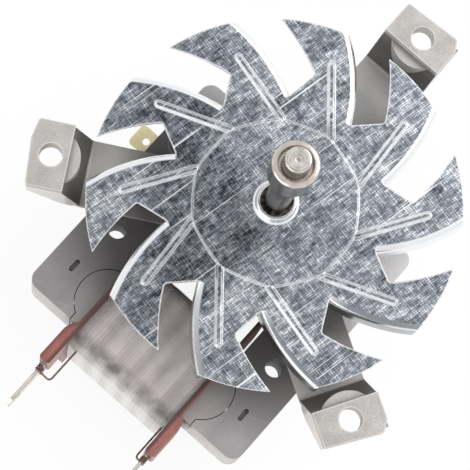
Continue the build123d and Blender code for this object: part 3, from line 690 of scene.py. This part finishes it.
def stack_wall(tree, tone, sheets):
    """Walls of the stack, with an uneven dark line between one sheet and the next."""
    uneven = ramp(tree, noise(tree, (0.3, 0.3, 2.0)), 0.3, 0.6, 0.3, 1)
    line = times(tree, ramp(tree, sheets, 0.0, 0.35, 1, 0), uneven)
    return blend(tree, line, blend(tree, tone, SHEET_EDGE_DARK, SHEET_EDGE_LIGHT), SHEET_GAP)


def stack_shade(tree, on_face, along):
    """Where the stack has painted shade: under the wheel, where it is closed in, and in its holes."""
    closed_in = times(tree, hidden(tree, SHADE_REACH, 0.05, 0.45), 0.86)
    wheel_shade = times(tree, under_wheel(tree), 0.78)
    shaded = times(tree, most(tree, closed_in, wheel_shade), ramp(tree, along, *STACK_SHADED, 1, 0.1))
    bore = times(tree, ramp(tree, on_face, 0.5, 0.2), hidden(tree, BORE_REACH, 0.5, 0.8))
    return most(tree, shaded, bore)


def core_steel():
    """Laminated stack: annealed sheet on the faces, sheet by sheet lines on the walls, a painted
    highlight on its edges and painted shade from stack_shade.
    """
    material, tree, main = start("core_steel", 0.5)
    speckle = noise(tree, 2.5, 2.0, 0.7)
    tone = layered(tree, (noise(tree, 0.07, 4.0, 0.6, 0.3), 0.6), (speckle, 0.4))
    along = coordinate(tree, "X", STACK_PALE_TURN)
    sheets = bands(tree, only_x(tree, coordinate(tree, "Z")), SHEET_T)
    on_face = ramp(tree, level(tree), 0.3, 0.7)
    colour = blend(tree, on_face, stack_wall(tree, tone, sheets), stack_face(tree, tone, along))
    # Painted highlight on the edges
    colour = blend(tree, times(tree, edges(tree, EDGE_R), 0.45), colour, STACK_EDGE_HIGHLIGHT)
    shaded = stack_shade(tree, on_face, along)
    use(
        tree, main, Base_Color=blend(tree, shaded, colour, SHADE_DARK),
        Metallic=ramp(tree, shaded, 0, 0.8, 0.5, 0.0), Roughness=ramp(tree, tone, 0, 1, 0.58, 0.42),
        Normal=bump(tree, blend(tree, on_face, sheets, speckle, "FLOAT"), 0.05),
    )
    return material


# Other metals
def turned_steel(name, light, dark, rings=3.2, rough=(0.16, 0.3), soft_edge=0.3, shade_amount=1.0, shaded_up_to=None):
    """Turned or ground metal, with fine rings round its axis and on its faces, painted shade in its
    hollows and, when a height is given, darker brown painted shade in streaks up to it.
    """
    material, tree, main = start(name, 1.0)
    walls = noise(tree, (0, 0, rings), 3.0, 0.65)
    faces = noise_on(tree, only_x(tree, times(tree, axis_distance(tree), 2.6)), 3.0, 0.7)
    marks = blend(tree, ramp(tree, level(tree), 0.4, 0.8), walls, faces, "FLOAT")
    tone = layered(tree, (marks, 0.6), (noise(tree, 0.5, 3.0), 0.4), low=0.35, high=0.65)
    colour = blend(tree, tone, dark, light)
    # Painted shade in hollows
    closed_in = times(tree, hidden(tree, NEAR_REACH, 0.1, 0.6), shade_amount)
    colour = blend(tree, closed_in, colour, SHADE_BROWN)
    # Painted shade: darker brown streaks up to the given height
    if shaded_up_to is not None:
        streaks = ramp(tree, noise(tree, (0.9, 0.9, 0.03), 2.0, 0.6), 0.47, 0.6, 1.0, 0.65)
        below = ramp(tree, coordinate(tree, "Z"), *shaded_up_to, 1, 0)
        colour = blend(tree, times(tree, below, streaks), colour, SHADE_BROWN)
    smooth, coarse = rough
    use(
        tree, main, Base_Color=colour, Roughness=ramp(tree, tone, 0, 1, coarse, smooth),
        Normal=bump(tree, marks, 0.03, soft_edge),
    )
    return material


def tin_plate():
    """Tinned sheet of the terminals: fine lines along it, with painted shade on its edges and where it is
    closed in.
    """
    material, tree, main = start("terminal_metal", 0.8)
    lines = noise(tree, (3.0, 0.3, 3.0), 2.0, 0.6)
    tone = layered(tree, (lines, 0.5), (noise(tree, 0.4, 3.0), 0.5), low=0.35, high=0.65)
    colour = blend(tree, tone, TIN_DARK, TIN_LIGHT)
    # Painted shade on the edges
    edge_shade = times(tree, edges(tree, 2 * EDGE_R, 0.01, 0.08), 0.8)
    colour = blend(tree, edge_shade, colour, TIN_EDGE_SHADE)
    # Painted shade where closed in
    closed_in = times(tree, hidden(tree, NEAR_REACH, 0.1, 0.6), 0.8)
    use(
        tree, main, Base_Color=blend(tree, closed_in, colour, SHADE_DARK),
        Roughness=ramp(tree, tone, 0, 1, 0.34, 0.22), Normal=bump(tree, lines, 0.02),
    )
    return material


def earth_brass():
    """Yellow sheet brass with light tarnish and a painted highlight on its edges."""
    material, tree, main = start("earth_brass", 0.9)
    fine = noise(tree, (0.6, 3.5, 1))
    tone = layered(tree, (noise(tree, 0.35, 3.0, 0.6), 0.6), (fine, 0.4))
    colour = blend(tree, tone, BRASS_DARK, BRASS_LIGHT)
    # Painted highlight on the edges
    bright = times(tree, edges(tree, EDGE_R), 0.4)
    use(
        tree, main, Base_Color=blend(tree, bright, colour, BRASS_EDGE_HIGHLIGHT),
        Roughness=ramp(tree, tone, 0, 1, 0.42, 0.28), Normal=bump(tree, fine, 0.02),
    )
    return material


def cast_alloy():
    """Die cast alloy with a grainy skin."""
    material, tree, main = start("cast_alloy", 0.75)
    grains = put(
        tree, "ShaderNodeTexVoronoi", {"Vector": place(tree, 1.6), "Scale": 1.0}
    ).outputs["Distance"]
    clouds = ramp(tree, noise(tree, 0.3, 4.0, 0.65), 0.3, 0.7, 0, 0.7)
    tone = total(tree, clouds, ramp(tree, grains, 0.0, 0.8, 0, 0.3))
    use(
        tree, main, Base_Color=blend(tree, tone, ALLOY_DARK, ALLOY_LIGHT),
        Roughness=ramp(tree, tone, 0, 1, 0.6, 0.42), Normal=bump(tree, grains, 0.05),
    )
    return material


# Materials that aren't bare metal
def resin(name, light, dark, rim_highlight, shadow, coil_x=None):
    """Moulded resin: mottled, with a painted highlight on the edges on one side and painted shade on the
    others, beside a coil at coil_x, under the wheel and where closed in.
    """
    material, tree, main = start(name, 0.0)
    skin = noise(tree, 2.2, 2.0, 0.6)
    tone = layered(tree, (noise(tree, 0.16, 3.0, 0.6), 0.6), (skin, 0.4))
    colour = blend(tree, tone, dark, light)
    # Painted highlight on the edges that face one way, painted shade on the others
    lean = leaning(tree, RESIN_EDGE_R, LIT_EDGE_TURN)
    colour = blend(tree, ramp(tree, lean, 0.3, 0.6, 0, 0.6), colour, rim_highlight)
    all_round = times(tree, edges(tree, RESIN_EDGE_R, 0.01, 0.12), 0.55)
    away = times(tree, most(tree, ramp(tree, lean, -0.05, -0.3), all_round), 0.9)
    colour = blend(tree, away, colour, shadow)
    # Painted shade on the cheeks beside the coil
    if coil_x is not None:
        sideways = calc(tree, "ABSOLUTE", coordinate(tree, "X"))
        beside = ramp(tree, sideways, *(coil_x + reach for reach in CHEEK_SHADED), 0.85, 0)
        shade_amount = times(tree, beside, ramp(tree, level(tree), 0.3, 0.7))
        colour = blend(tree, shade_amount, colour, shadow)
    # Painted shade under the wheel and where closed in
    wheel_shade = times(tree, under_wheel(tree, RESIN_SHADE_FURTHER), 0.62)
    shaded = most(tree, times(tree, hidden(tree), 0.6), wheel_shade)
    use(
        tree, main, Base_Color=blend(tree, shaded, colour, SHADE_DARK),
        Roughness=ramp(tree, skin, 0.2, 0.8, 0.34, 0.52), Normal=bump(tree, skin, 0.03),
    )
    return material


def winding_wire():
    """Fine wire under clear tape with a glossy coat, smudged at the coil's outer end with painted light
    beyond, and painted shade where closed in.
    """
    material, tree, main = start("winding_wire", 0.1)
    each = noise(tree, (3.1, 0.05, 0.05), 2.0, 0.7)
    patches = noise(tree, (0.14, 0.08, 0.14), 3.0, 0.6, 0.3)
    weave = bands(tree, place(tree, 1, 90), TAPE_RIDGE, 0.6)
    tone = layered(tree, (each, 0.2), (patches, 0.5))
    tone = total(tree, tone, ramp(tree, weave, 0, 1, 0, 0.2))
    colour = blend(tree, tone, TAPE_DARK, TAPE_LIGHT)
    across = coordinate(tree, "Y")
    smudges = times(
        tree, ramp(tree, noise(tree, (0.3, 0.22, 0.22)), 0.32, 0.6),
        ramp(tree, across, *SMUDGED_FROM_Y), ramp(tree, across, *SMUDGED_TO_Y, 1, 0), 0.8,
    )
    colour = blend(tree, smudges, colour, TAPE_SMUDGED)
    # Painted light on the coil's outer end
    colour = blend(tree, ramp(tree, across, *TAPE_PAINTED_LIGHT_Y, 0, 0.95), colour, TAPE_PAINTED_LIGHT)
    use(
        # Painted shade where closed in
        tree, main, Base_Color=blend(tree, times(tree, hidden(tree), 0.6), colour, SHADE_DARK),
        Roughness=ramp(tree, each, 0.3, 0.7, 0.42, 0.3), Normal=bump(tree, each, 0.02, 0.05),
        Coat_Weight=0.55, Coat_Roughness=0.12,
    )
    return material


def lead_wire():
    """Dark enamel on the two bare ends of the wire."""
    material, tree, main = start("lead_wire", 0.3)
    patches = noise(tree, 0.8, 3.0, 0.6)
    colour = blend(tree, ramp(tree, patches, 0.3, 0.7), ENAMEL_DARK, ENAMEL_LIGHT)
    use(tree, main, Base_Color=colour, Roughness=0.35, Normal=bump(tree, patches, 0.02, 0.05))
    return material


def oil_felt():
    """Grey felt soaked in oil, with matted fibres."""
    material, tree, main = start("oil_felt", 0.0, 0.3)
    fibres = noise(tree, 2.5, 4.0, 0.75, 2.0)
    colour = blend(tree, ramp(tree, fibres, 0.3, 0.7), FELT_DARK, FELT_LIGHT)
    use(tree, main, Base_Color=colour, Roughness=0.9, Normal=bump(tree, fibres, 0.2))
    return material


# The finished material of each of the record's slots
MATERIALS = {
    "bracket_steel": bracket_steel(),
    "foot_steel": foot_steel(),
    "core_steel": core_steel(),
    "copper": turned_steel("copper", shade(205, 130, 95), shade(150, 86, 60), rough=(0.3, 0.45)),
    "bobbin_resin": resin(
        "bobbin_resin", light=shade(174, 104, 96), dark=shade(122, 74, 68), rim_highlight=shade(216, 176, 167),
        shadow=shade(78, 48, 44), coil_x=CHEEK_IN_X,
    ),
    "winding_wire": winding_wire(),
    "terminal_metal": tin_plate(),
    "earth_brass": earth_brass(),
    "fastener_steel": plain_metal("fastener_steel", shade(205, 203, 198), shade(160, 157, 152)),
    "cast_alloy": cast_alloy(),
    "sintered_bronze": plain_metal(
        "sintered_bronze", shade(178, 134, 92), shade(128, 92, 60), grain=1.6, metallic=0.8
    ),
    "oil_felt": oil_felt(),
    "washer_resin": resin(
        "washer_resin", light=shade(226, 220, 204), dark=shade(196, 188, 170),
        rim_highlight=shade(236, 232, 220), shadow=shade(170, 162, 146),
    ),
    "shaft_steel": turned_steel(
        "shaft_steel", shade(250, 246, 241), shade(146, 138, 131), soft_edge=0.4, shade_amount=0.35,
        shaded_up_to=SHADED_UP_TO,
    ),
    "nut_steel": turned_steel(
        "nut_steel", shade(230, 222, 214), shade(172, 162, 154), rings=1.8, rough=(0.14, 0.26),
        soft_edge=0.7, shade_amount=0.3,
    ),
    "wheel_zinc": wheel_zinc(),
}
LEAD_ENAMEL = lead_wire()


# Pieces
def dress_nodes():
    """Gives each node of the frame its finished material in place of its plain one."""
    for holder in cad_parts.values():
        for slot in holder.material_slots:
            plain = slot.material.name.split(".")[0]
            if plain in MATERIALS:
                slot.material = MATERIALS[plain]


def add_winding_piece(mesh, material):
    """Puts a mesh on the motor's still body in place of the plain winding."""
    mesh.materials.append(material)
    piece = bpy.data.objects.new(mesh.name, mesh)
    bpy.context.scene.collection.objects.link(piece)
    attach(piece, "frame")
    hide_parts("winding")


# Coil
def rounded_loop(half_y, half_z, corner):
    """Points round a rounded rectangle in Y and Z, anticlockwise."""
    points = []
    for quarter in range(4):
        mid_y = (half_y - corner) * (1 if quarter in (0, 3) else -1)
        mid_z = (half_z - corner) * (1 if quarter in (0, 1) else -1)
        for step in range(COIL_CORNER_STEPS + 1):
            angle = math.pi / 2 * (quarter + step / COIL_CORNER_STEPS)
            points.append((mid_y + corner * math.cos(angle), mid_z + corner * math.sin(angle)))
    return points


def add_ring(shell, x, half_y, half_z, corner, centre):
    """Adds the corners of one loop round the coil's core."""
    mid_y, mid_z = centre
    return [
        shell.verts.new((x * MM, (y + mid_y) * MM, (z + mid_z) * MM))
        for y, z in rounded_loop(half_y, half_z, corner)
    ]


def turn_height(step):
    """How far the coil stands out from the winding's outer face at a step along it, 0 at the most."""
    turn, part = divmod(step, WIRE_STEPS)
    tallest = WIRE_BULGE + sum(height for height, pace in WIRE_UNEVEN)
    if part == 0:
        return -tallest
    ridge = WIRE_BULGE * math.sin(math.pi * part / WIRE_STEPS)
    return ridge + sum(height * math.sin(turn * pace) for height, pace in WIRE_UNEVEN) - tallest


def add_coil():
    """The coil, with every turn of wire as its own ridge."""
    core_low, core_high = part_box("coil_core")
    low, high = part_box("winding")
    centre = ((core_low.y + core_high.y) / 2 * PER_MM, (core_low.z + core_high.z) / 2 * PER_MM)
    half_y = high.y * PER_MM - centre[0]
    half_z = (high.z - low.z) / 2 * PER_MM
    steps = round(2 * CHEEK_IN_X / WIRE_PITCH) * WIRE_STEPS
    shell = bmesh.new()
    rings = []
    for step in range(steps + 1):
        x = CHEEK_IN_X * (2 * step / steps - 1)
        grow = turn_height(step)
        rings.append(add_ring(shell, x, half_y + grow, half_z + grow, COIL_CORNER_R, centre))
    inner_y = half_y - COIL_THICK
    inner_z = half_z - COIL_THICK
    for x in (CHEEK_IN_X, -CHEEK_IN_X):
        rings.append(add_ring(shell, x, inner_y, inner_z, COIL_INNER_CORNER_R, centre))
    for ring, after in zip(rings, rings[1:] + rings[:1]):
        for corners in zip(ring, ring[1:] + ring[:1], after[1:] + after[:1], after):
            shell.faces.new(corners)
    bmesh.ops.recalc_face_normals(shell, faces=shell.faces)
    mesh = bpy.data.meshes.new("coil_turns")
    shell.to_mesh(mesh)
    shell.free()
    add_winding_piece(mesh, MATERIALS["winding_wire"])


# Ends of the wire
def lead_route(side, blade):
    """Points of one end: out of the coil, round a small bend and round the root of its blade."""
    blade_low, blade_high = blade
    blade_x = (blade_low.x + blade_high.x) / 2 * PER_MM
    mid_z = (blade_low.z + blade_high.z) / 2 * PER_MM
    reach_x = (blade_high.x - blade_low.x) / 2 * PER_MM + WRAP_GAP
    half_w = (blade_high.z - blade_low.z) / 2 * PER_MM
    reach_z = half_w + WRAP_GAP
    x = side * (CHEEK_IN_X - LEAD_IN_FROM_CHEEK[side])
    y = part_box("bobbin")[0].y * PER_MM - LEAD_BELOW_BLOCK
    z = mid_z + half_w - LEAD_UNDER_BLADE_EDGE
    start_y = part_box("coil_core")[0].y * PER_MM - LEAD_STARTS_BELOW_CORE
    bend_x, bend_y = LEAD_BEND_MID
    points = [
        (x, start_y, z),
        (x, y + LEAD_BEND, z),
        (x + side * bend_x, y + bend_y, z),
        (x + side * LEAD_BEND, y, z),
    ]
    for turn in range(WRAP_TURNS):
        for corner_x, corner_z in ((-1, 1), (1, 1), (1, -1), (-1, -1)):
            points.append((blade_x + side * corner_x * reach_x, y, mid_z + corner_z * reach_z))
            y += WRAP_PITCH / 4
    return points


def add_lead(side, end):
    """One end of the wire, from the coil to its terminal."""
    points = lead_route(side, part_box("terminal_" + end))
    curve = bpy.data.curves.new("lead", "CURVE")
    curve.dimensions = "3D"
    curve.bevel_depth = LEAD_R * MM
    curve.bevel_resolution = 3
    curve.use_fill_caps = True
    spline = curve.splines.new("POLY")
    spline.points.add(len(points) - 1)
    for spline_point, point in zip(spline.points, points):
        spline_point.co = (*(value * MM for value in point), 1)
    holder = bpy.data.objects.new("lead_curve", curve)
    mesh = bpy.data.meshes.new_from_object(holder)
    bpy.data.objects.remove(holder)
    mesh.name = "lead_" + end
    mesh.materials.clear()
    add_winding_piece(mesh, LEAD_ENAMEL)


# Floor and light
def add_lamp(name, location, target, size, power):
    """A soft lamp that points at a place."""
    lamp = bpy.data.lights.new(name, "AREA")
    lamp.shape = "RECTANGLE"
    lamp.size, lamp.size_y = size
    lamp.energy = power
    holder = bpy.data.objects.new(name, lamp)
    holder.location = location
    direction = Vector(target) - Vector(location)
    holder.rotation_euler = direction.to_track_quat("-Z", "Y").to_euler()
    bpy.context.scene.collection.objects.link(holder)


def floor_material():
    """White where the camera looks straight at it, with a trace of the object's shadow."""
    material = bpy.data.materials.new("floor")
    material.use_nodes = True
    tree = material.node_tree
    tree.nodes.clear()
    out = put(tree, "ShaderNodeOutputMaterial")
    diffuse = put(tree, "ShaderNodeBsdfDiffuse", {"Color": (FLOOR_TONE, FLOOR_TONE, FLOOR_TONE, 1)})
    glow = put(tree, "ShaderNodeEmission", {"Strength": 1.0})
    rays = put(tree, "ShaderNodeLightPath").outputs
    seen = most(tree, rays["Is Camera Ray"], rays["Is Glossy Ray"], rays["Is Transmission Ray"])
    share = times(tree, seen, FLOOR_GLOW_SHARE)
    mixed = put(tree, "ShaderNodeMixShader", {0: share, 1: diffuse.outputs[0], 2: glow.outputs[0]})
    tree.links.new(mixed.outputs[0], out.inputs[0])
    return material


def build_floor():
    """A pale floor under the lowest point."""
    z = cad_low.z - FLOOR_BELOW
    corners = ((-1, -1), (1, -1), (1, 1), (-1, 1))
    mesh = bpy.data.meshes.new("floor")
    mesh.from_pydata([(x * FLOOR_HALF, y * FLOOR_HALF, z) for x, y in corners], [], [(0, 1, 2, 3)])
    mesh.materials.append(floor_material())
    floor = bpy.data.objects.new("floor", mesh)
    bpy.context.scene.collection.objects.link(floor)


def build_sky():
    """White surroundings."""
    world = bpy.data.worlds.new("studio")
    bpy.context.scene.world = world
    world.use_nodes = True
    background = world.node_tree.nodes["Background"]
    background.inputs["Color"].default_value = (1, 1, 1, 1)
    background.inputs["Strength"].default_value = SKY_STRENGTH


build_camera()
dress_nodes()
add_coil()
add_lead(-1, "left")
add_lead(1, "right")
build_floor()
build_sky()
for name, lamp in LAMPS.items():
    add_lamp(name, *lamp)
bpy.context.scene.view_settings.view_transform = "Standard"
